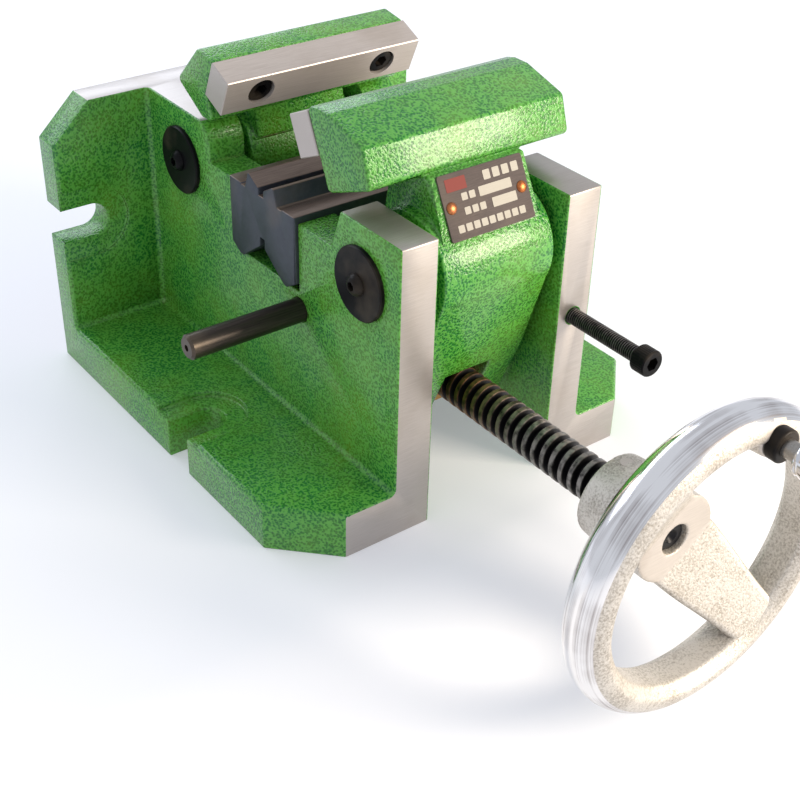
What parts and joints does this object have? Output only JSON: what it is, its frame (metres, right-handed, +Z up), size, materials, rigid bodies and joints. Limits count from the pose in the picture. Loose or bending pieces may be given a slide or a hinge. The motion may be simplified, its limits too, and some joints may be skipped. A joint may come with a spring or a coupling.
{
  "type": "bench vise",
  "caption": "Shaft vise: a handwheel screw swings two overhanging jaws down onto round work lying on a V-block in a green cast body.",
  "frame": {"origin": "on the base underside, on the V-block's plane of symmetry, midway between the cheeks", "axes": "+X along the jaws, to the right as the operator faces the handwheel; +Y from the handwheel to the back plate; +Z up"},
  "size_m": [0.226, 0.4572, 0.2111],
  "materials": {
    "green_enamel": "hammered gloss",
    "ground_steel": "surface ground",
    "turned_steel": "turned",
    "black_oxide": "black oxide",
    "oiled_steel": "dark, oiled",
    "bronze": "machined",
    "copper": "plain",
    "etched_plate": "etched",
    "polished_iron": "polished rim, cast inside",
    "chrome": "polished"
  },
  "bodies": {
    "body": {"body_casting": "green_enamel", "v_block": "ground_steel", "front_pivot_shaft": "turned_steel", "rear_pivot_shaft": "turned_steel", "front_retaining_discs": "black_oxide", "rear_retaining_discs": "black_oxide", "front_disc_screws": "black_oxide", "rear_disc_screws": "black_oxide", "front_spacer_rings": "turned_steel", "rear_spacer_rings": "turned_steel", "centre_bush": "bronze"},
    "front_jaw": {"front_jaw_lever": "green_enamel", "front_pivot_bushes": "bronze", "front_jaw_plate": "ground_steel", "front_jaw_screws": "black_oxide", "nameplate": "etched_plate", "nameplate_rivets": "copper"},
    "rear_jaw": {"rear_jaw_lever": "green_enamel", "rear_pivot_bushes": "bronze", "rear_jaw_plate": "ground_steel", "rear_jaw_screws": "black_oxide"},
    "front_nut": {"front_nut": "bronze"},
    "rear_nut": {"rear_nut": "bronze"},
    "screw": {"lead_screw": "oiled_steel", "thrust_collars": "turned_steel", "collar_set_screws": "black_oxide", "handwheel": "polished_iron", "wheel_pin": "turned_steel", "handle_stud": "turned_steel", "handle_lock_collar": "black_oxide"},
    "grip": {"handle_grip": "chrome"},
    "stop_rod": {"stop_rod": "oiled_steel"},
    "clamp_screw": {"rod_clamp_screw": "black_oxide"}
  },
  "joints": [
    {"name": "handwheel_turn", "type": "hinge", "parent": "body", "child": "screw", "pos_m": [0, 0, 0.05], "axis": [0, 1, 0], "range_deg": [-756, 1209]},
    {"name": "front_jaw_swing", "type": "hinge", "parent": "body", "child": "front_jaw", "pos_m": [0, -0.0772, 0.121], "axis": [-1, 0, 0], "range_deg": [-10.05, 16.04]},
    {"name": "rear_jaw_swing", "type": "hinge", "parent": "body", "child": "rear_jaw", "pos_m": [0, 0.0772, 0.121], "axis": [1, 0, 0], "range_deg": [-10.05, 16.04]},
    {"name": "front_nut_travel", "type": "slide", "parent": "body", "child": "front_nut", "axis": [0, -1, 0], "range_m": [-0.01265, 0.0202]},
    {"name": "rear_nut_travel", "type": "slide", "parent": "body", "child": "rear_nut", "axis": [0, 1, 0], "range_m": [-0.01265, 0.0202]},
    {"name": "grip_spin", "type": "hinge", "parent": "screw", "child": "grip", "pos_m": [0.01754, -0.29, 0.10738], "axis": [0, 1, 0], "continuous": true},
    {"name": "stop_rod_slide", "type": "slide", "parent": "body", "child": "stop_rod", "axis": [1, 0, 0], "range_m": [-0.05, 0.004]},
    {"name": "clamp_screw_travel", "type": "slide", "parent": "body", "child": "clamp_screw", "axis": [0, 1, 0], "range_m": [-0.03, 0.0044]}
  ],
  "couplings": [
    {"joint": "front_jaw_swing", "follows": "handwheel_turn", "ratio": 0.013226},
    {"joint": "rear_jaw_swing", "follows": "handwheel_turn", "ratio": 0.013226},
    {"joint": "front_nut_travel", "follows": "handwheel_turn", "m_per_rad": 0.00095493},
    {"joint": "rear_nut_travel", "follows": "handwheel_turn", "m_per_rad": 0.00095493}
  ]
}
